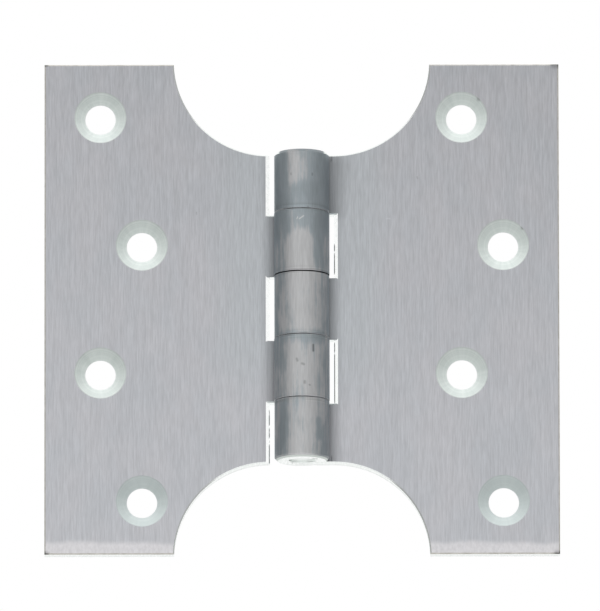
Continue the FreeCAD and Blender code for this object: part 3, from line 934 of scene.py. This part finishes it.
def make_slot_bevel():
    """Bright plating that leans to the front, with broken painted shade at the bottom of the bevel."""
    finish, tree, point = start_finish("slot_bevel")
    across, _, _ = places(tree, point)
    fine = mottled(tree, point, BEVEL_MARK)
    deep = stretch(tree, across, SLOT_SIDE + SHADE_LINE, SLOT_SIDE + SHADE_LINE / 2)
    runs = stretch(tree, marks_on(tree, point, on_leaf, SHADE_RUNS), *RUN_SPAN)
    broken = stretch(tree, mottled(tree, point, SHADE_BREAK, detail=2.0, rough=0.5), *BREAK_SPAN)
    # Painted shade: a broken dark line deep in the slot, where the bevel meets the wall.
    slot_shade = times(tree, deep, times(tree, runs, broken))
    colour = tint(tree, slot_shade, tint(tree, spread(tree, fine), *BEVEL_PLATING), SLOT_SHADE_BLACK)
    turn = {"vector_type": "NORMAL", "convert_from": "OBJECT", "convert_to": "WORLD"}
    leaning = add(tree, "ShaderNodeVectorTransform", {0: FRONTWARD}, **turn).outputs[0]
    return end_finish(finish, colour, spread(tree, fine, *BEVEL_ROUGH), metal=1.0, normal=leaning)


SLOT_BEVEL = make_slot_bevel()

# %% [markdown]
# ## The rubbed edges
# Along the straight sides of each leaf runs a narrow broken edge. Fingers and the belt have rubbed its
# plating, so it is greyer and a little warm, and at the leaf's corners it is rubbed down to dark steel. It
# could be left to edge wear worked out by the shader, but the edge is real geometry here, so its own faces
# simply wear their own finish. Along the foot it is a little lighter, which is painted light.

# %% Make the rubbed edges
RUB_MARK = (1.6, 1.6)
RUBBED_STEEL = rgb(0.54, 0.525, 0.475), rgb(0.7, 0.685, 0.64)
FOOT_EDGE_GONE, FOOT_EDGE_FULL = 0.6 * MM - LEAF_END, 0.4 * MM - LEAF_END
FOOT_EDGE_PAINTED_LIGHT = 1.1
CORNER_SPAN = (0.1, 1.0)
CORNER_STEEL = rgb(0.16, 0.16, 0.145)
RUBBED_ROUGH = (0.52, 0.4)


def make_rubbed_edge():
    """Warm grey steel where the plating is rubbed, dark at the corners, lighter at the foot with painted
    light.
    """
    finish, tree, point = start_finish("rubbed_edge")
    _, _, level = places(tree, point)
    rubbed = mottled(tree, point, RUB_MARK)
    steel = tint(tree, spread(tree, rubbed), *RUBBED_STEEL)
    # Painted light: the rubbed edge is a little lighter along the foot.
    steel = shade(tree, steel, stretch(tree, level, FOOT_EDGE_GONE, FOOT_EDGE_FULL, 1.0, FOOT_EDGE_PAINTED_LIGHT))
    handled = stretch(tree, join_marks(tree, point, DARK_CORNERS), *CORNER_SPAN)
    colour = tint(tree, handled, steel, CORNER_STEEL)
    rough = spread(tree, rubbed, *RUBBED_ROUGH)
    return end_finish(finish, colour, rough, metal=0.4, normal=bump(tree, rubbed, depth=0.01))


RUBBED_EDGE = make_rubbed_edge()

# %% [markdown]
# ## The mill back
# The backs go against the timber, so nobody brushes them. They keep the rolling mill's faint lines and a
# cloudy, spangled plating, duller than the cuts. The same brushing group is used, but far more softly.

# %% Make the mill back
SPANGLE = (5.0, 6.5)
MILL_PLATING = rgb(0.535, 0.565, 0.56), rgb(0.615, 0.645, 0.635)
MILL_SHADES = (0.96, 1.04)
SCUFF_SHARE = 0.5
SCUFF_GREY = rgb(0.3, 0.3, 0.31)
MILL_ROUGH = (0.48, 0.38)


def make_mill_back():
    """Dull plating over mill lines, with a cloudy spangle."""
    finish, tree, point = start_finish("mill_back")
    milled = shared(tree, BRUSHING, Point=point)
    scuffs = shared(tree, MARKS, Point=point, Kept=0.1, Size=0.2)["Marks"]
    spangle = mottled(tree, point, SPANGLE, detail=4.0, rough=0.62)
    plating = tint(tree, spread(tree, spangle), *MILL_PLATING)
    plating = shade(tree, plating, spread(tree, milled["Long Lines"], *MILL_SHADES))
    colour = tint(tree, times(tree, scuffs, SCUFF_SHARE), plating, SCUFF_GREY)
    rough = spread(tree, spangle, *MILL_ROUGH)
    return end_finish(finish, colour, rough, metal=0.8, normal=bump(tree, milled["Lines"], depth=0.003))


MILL_BACK = make_mill_back()

# %% [markdown]
# ## Give every face its finish
# A plater would mask the leaf; here each face is asked where it lies and which way it looks. The flat front
# and the front of the bent root are satin, and their backs are as milled. Close to the barrel's radius, a
# face that looks away from the pin is a knuckle, and one inside a joint is oiled. The narrow sloping strips
# along the straight sides are rubbed, what lies close to a screw hole is its countersink, what lies beside
# the barrel is a slot, and all the rest is a sheared edge. How far a face looks one way is the cosine of
# its slant: 1 is straight at it.

# %% Assign the finishes by place and direction
FINISHES = [
    SATIN_FACE,
    ROLLED_KNUCKLE,
    OILED_JOINT,
    PLATED_SINK,
    SLOT_BEVEL,
    RUBBED_EDGE,
    MILL_BACK,
    SHEARED_EDGE,
]
STRAIGHT, SLOPING, HALFWAY, SLIGHTLY = 0.98, 0.9, 0.5, 0.2
NEAR_BARREL = BARREL_RADIUS + 0.15 * MM
NEAR_SINK = 5.4 * MM
EDGE_STRIP = 0.4 * MM
SLOT_REACH = 1.0 * MM


def finish_of(middle, normal):
    """Tell which finish a face has, from its middle and the way it looks."""
    from_axis = math.hypot(middle.x, middle.y)
    outward = (middle.x * normal.x + middle.y * normal.y) / max(from_axis, WELD)
    from_hole = min(math.dist((middle.x, middle.z), hole) for hole in HOLES)
    upright = abs(normal.z) < HALFWAY
    at_end = abs(middle.z) > BARREL_END - RIM
    at_root = NEAR_BARREL < from_axis and abs(middle.x) < SLOT_SIDE - EDGE_STRIP / 2
    if at_root and normal.y < -SLIGHTLY and upright:
        return SATIN_FACE
    if normal.y < -STRAIGHT and middle.y > FRONT_LEVEL - WELD and from_axis > BARREL_RADIUS:
        return SATIN_FACE
    if from_axis < NEAR_BARREL and outward > HALFWAY:
        return ROLLED_KNUCKLE
    if at_end and upright and NEAR_BARREL < from_axis < SLOT_SIDE:
        return SHEARED_EDGE
    if from_axis < NEAR_BARREL and not at_end and outward > -HALFWAY:
        return OILED_JOINT
    root_back = abs(normal.z) < SLIGHTLY and middle.y > BARREL_RADIUS / 2 and normal.y > SLIGHTLY
    if normal.y > STRAIGHT or root_back:
        return MILL_BACK
    if from_hole < NEAR_SINK:
        return PLATED_SINK
    beside_barrel = from_axis > NEAR_BARREL and abs(middle.x) < SLOT_SIDE + SLOT_REACH
    if beside_barrel and normal.y < -HALFWAY and upright:
        return SLOT_BEVEL
    if beside_barrel and normal.y < -HALFWAY and not at_end:
        return SATIN_FACE
    on_side = abs(middle.x) > LEAF_SIDE - EDGE_STRIP or abs(middle.z) > LEAF_END - EDGE_STRIP
    if on_side and -SLOPING < normal.y < -HALFWAY:
        return RUBBED_EDGE
    return SHEARED_EDGE


def dress(leaf, node, body):
    """Give a leaf its finishes face by face, and let it stand for its node."""
    leaf.data.materials.clear()
    for finish in FINISHES:
        leaf.data.materials.append(finish)
    counts = dict.fromkeys((finish.name for finish in FINISHES), 0)
    for face in leaf.data.polygons:
        finish = finish_of(face.center, face.normal)
        face.material_index = FINISHES.index(finish)
        counts[finish.name] += 1
    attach(leaf, body)
    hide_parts(node)
    print(leaf.name, counts)


dress(frame_sheet, "frame_leaf", "frame_side")
dress(door_sheet, "door_leaf", "door_side")

# %% [markdown]
# ## The turned pin
# Only the two ends of the pin show, in the middle of the barrel. A bar is parted off in a lathe, so its
# ends have fine rings about the axis and are a little rougher than the sheared plating. The pin's own
# shape is already right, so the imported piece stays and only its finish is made.

# %% Make the pin's finish
PIN_RING = 0.2
PIN_STEEL = rgb(0.89, 0.93, 0.905), rgb(0.97, 0.985, 0.975)
PIN_ROUGH = (0.36, 0.28)


def make_turned_pin():
    """Plain turned steel with rings about the barrel's axis."""
    finish, tree, point = start_finish("turned_pin")
    rings = turned_noise(tree, from_pin(tree, point), PIN_RING)
    steel = tint(tree, spread(tree, rings), *PIN_STEEL)
    rough = spread(tree, rings, *PIN_ROUGH)
    return end_finish(finish, steel, rough, metal=1.0, normal=bump(tree, rings, depth=0.012))


TURNED_PIN = make_turned_pin()
frame["nodes"]["hinge_pin"].material_slots[0].material = TURNED_PIN
print("hinge_pin wears", TURNED_PIN.name)

# %% [markdown]
# ## The floor
# The hinge is shown by itself against white. A floor just under it would hide it from the low camera, so
# a pale floor lies well below, and can be looked through from underneath. To the camera and to the metal
# it is the same white as the world; to the lamps it is a plain pale board.

# %% Make the floor
FLOOR_LEVEL = -1.6
FLOOR_SIZE = 14.0
FLOOR_GREY = rgb(0.8, 0.8, 0.8)
FLOOR_ROUGH = 0.7
WHITE = rgb(1, 1, 1)


def white_to_eye_and_metal(tree):
    """Give 1 for rays from the camera, or that come off metal or through glass, and 0 for the others."""
    rays = add(tree, "ShaderNodeLightPath").outputs
    eye = calc(tree, "MAXIMUM", rays["Is Camera Ray"], rays["Is Glossy Ray"])
    return calc(tree, "MAXIMUM", eye, rays["Is Transmission Ray"])


def make_floor():
    """A pale board that is white to the camera and clear from underneath."""
    bpy.ops.object.select_all(action="DESELECT")
    bpy.ops.mesh.primitive_plane_add(size=FLOOR_SIZE, location=(0, 0, FLOOR_LEVEL))
    floor = bpy.context.object
    floor.name = "floor"
    pale = bpy.data.materials.new("pale_floor")
    pale.use_nodes = True
    tree = pale.node_tree
    board = tree.nodes["Principled BSDF"]
    fill(tree, board, {"Base Color": FLOOR_GREY, "Roughness": FLOOR_ROUGH})
    white = add(tree, "ShaderNodeEmission", {"Color": WHITE, "Strength": 1.0})
    plugs = {0: white_to_eye_and_metal(tree), 1: board.outputs[0], 2: white.outputs[0]}
    above = add(tree, "ShaderNodeMixShader", plugs)
    clear = add(tree, "ShaderNodeBsdfTransparent")
    under = add(tree, "ShaderNodeNewGeometry").outputs["Backfacing"]
    both = add(tree, "ShaderNodeMixShader", {0: under, 1: above.outputs[0], 2: clear.outputs[0]})
    fill(tree, tree.nodes["Material Output"], {"Surface": both.outputs[0]})
    floor.data.materials.append(pale)


make_floor()
print("floor lies", -FLOOR_LEVEL, "m below the hinge")

# %% [markdown]
# ## Grey boards for the metal to mirror
# In an all-white room a steel barrel looks like paper, because metal has no shade of its own, only what it
# mirrors. A photographer stands grey boards beside the object. Two stand left and right here, so that the
# barrel's flanks go dark, and one hangs in front above, so that the tops of the leaves do. The camera
# doesn't see them and they cast no shadow.

# %% Stand the boards
BOARDS = {
    "left_board": {"place": (-0.42, -0.14, 0.0), "turn": (90, 0, 90), "size": (0.68, 1.0), "grey": 0.38},
    "right_board": {"place": (0.4, -0.1, 0.0), "turn": (90, 0, 90), "size": (0.68, 1.0), "grey": 0.44},
    "top_board": {"place": (0.18, -0.42, 0.32), "turn": (65, 0, 0), "size": (0.62, 0.34), "grey": 0.36},
}


def stand_board(name, place, turn, size, grey):
    """Stand one grey board where the metal can mirror it."""
    bpy.ops.object.select_all(action="DESELECT")
    angles = [math.radians(angle) for angle in turn]
    bpy.ops.mesh.primitive_plane_add(size=1.0, location=place, rotation=angles)
    board = bpy.context.object
    board.name = name
    board.scale = (size[0], size[1], 1.0)
    card = bpy.data.materials.new(name)
    card.use_nodes = True
    tree = card.node_tree
    glow = add(tree, "ShaderNodeEmission", {"Color": rgb(grey, grey, grey), "Strength": 1.0})
    fill(tree, tree.nodes["Material Output"], {"Surface": glow.outputs[0]})
    board.data.materials.append(card)
    board.visible_camera = False
    board.visible_shadow = False
    board.visible_diffuse = False


for board_name, board_plan in BOARDS.items():
    stand_board(board_name, **board_plan)
print(len(BOARDS), "boards stand round the hinge")

# %% [markdown]
# ## Light
# One large soft lamp hangs high in front, and a weaker one stands low, so the lower walls of the
# countersinks are the brightest. The world adds the rest as even light. The levels are kept plain, so that
# a colour renders about as it is written, and the white behind the hinge comes from the world's colour and
# not from more light. The metal doesn't mirror the lamps, because a flat leaf that is turned towards one
# would burn out to white.

# %% Hang the lamps and set the world
LAMPS = {
    "top_lamp": {"place": (-0.08, -0.62, 1.02), "size": 1.2, "power": 10.0},
    "foot_lamp": {"place": (0.1, -0.7, -0.9), "size": 1.5, "power": 0.8},
}
EVEN_LIGHT = 0.6


def hang_lamp(name, place, size, power):
    """Hang one square soft lamp that points at the hinge."""
    lamp = bpy.data.objects.new(name, bpy.data.lights.new(name, "AREA"))
    bpy.context.collection.objects.link(lamp)
    lamp.data.size = size
    lamp.data.energy = power
    lamp.visible_glossy = False
    lamp.location = place
    lamp.rotation_euler = (-Vector(place)).to_track_quat("-Z", "Y").to_euler()


def make_world():
    """White to the camera and to the metal, and a plain even light to the rest."""
    world = bpy.data.worlds.new("white_room")
    world.use_nodes = True
    tree = world.node_tree
    level = calc(tree, "MAXIMUM", white_to_eye_and_metal(tree), EVEN_LIGHT)
    fill(tree, tree.nodes["Background"], {"Color": WHITE, "Strength": level})
    bpy.context.scene.world = world


for lamp_name, lamp_plan in LAMPS.items():
    hang_lamp(lamp_name, **lamp_plan)
make_world()
print(len(LAMPS), "lamps hang, even light", EVEN_LIGHT)

# %% [markdown]
# ## Camera
# The camera stands far away with a very long lens, a little below the hinge, and turned so that the middle
# of the hinge falls on its pixel. The photograph leans by a twelfth of a degree, so the camera does too.

# %% Place the camera
EYE_DISTANCE = 5.0
EYE_LEAN = math.radians(-0.085)
SENSOR = 36.0


def place_camera():
    """Look at the hinge from a little below, so that its middle falls on its pixel."""
    eye = bpy.data.objects.new("camera", bpy.data.cameras.new("camera"))
    bpy.context.collection.objects.link(eye)
    view_height = max(PICTURE) / PIXELS_PER_MM * MM
    eye.data.sensor_width = SENSOR
    eye.data.lens = SENSOR * EYE_DISTANCE / view_height
    back = Vector((0, -math.cos(EYE_ELEVATION), math.sin(EYE_ELEVATION)))
    upward = Vector((0, math.sin(EYE_ELEVATION), math.cos(EYE_ELEVATION)))
    right_by, up_by = sideways(PICTURE[0] / 2), upwards(PICTURE[1] / 2)
    eye.location = back * EYE_DISTANCE + Vector((right_by, 0, 0)) + upward * up_by
    lean = Quaternion((0, 0, 1), EYE_LEAN)
    eye.rotation_euler = (back.to_track_quat("Z", "Y") @ lean).to_euler()
    bpy.context.scene.camera = eye
    print("lens", round(eye.data.lens), "mm at", EYE_DISTANCE, "m")


place_camera()
bpy.context.scene.view_settings.view_transform = "Standard"
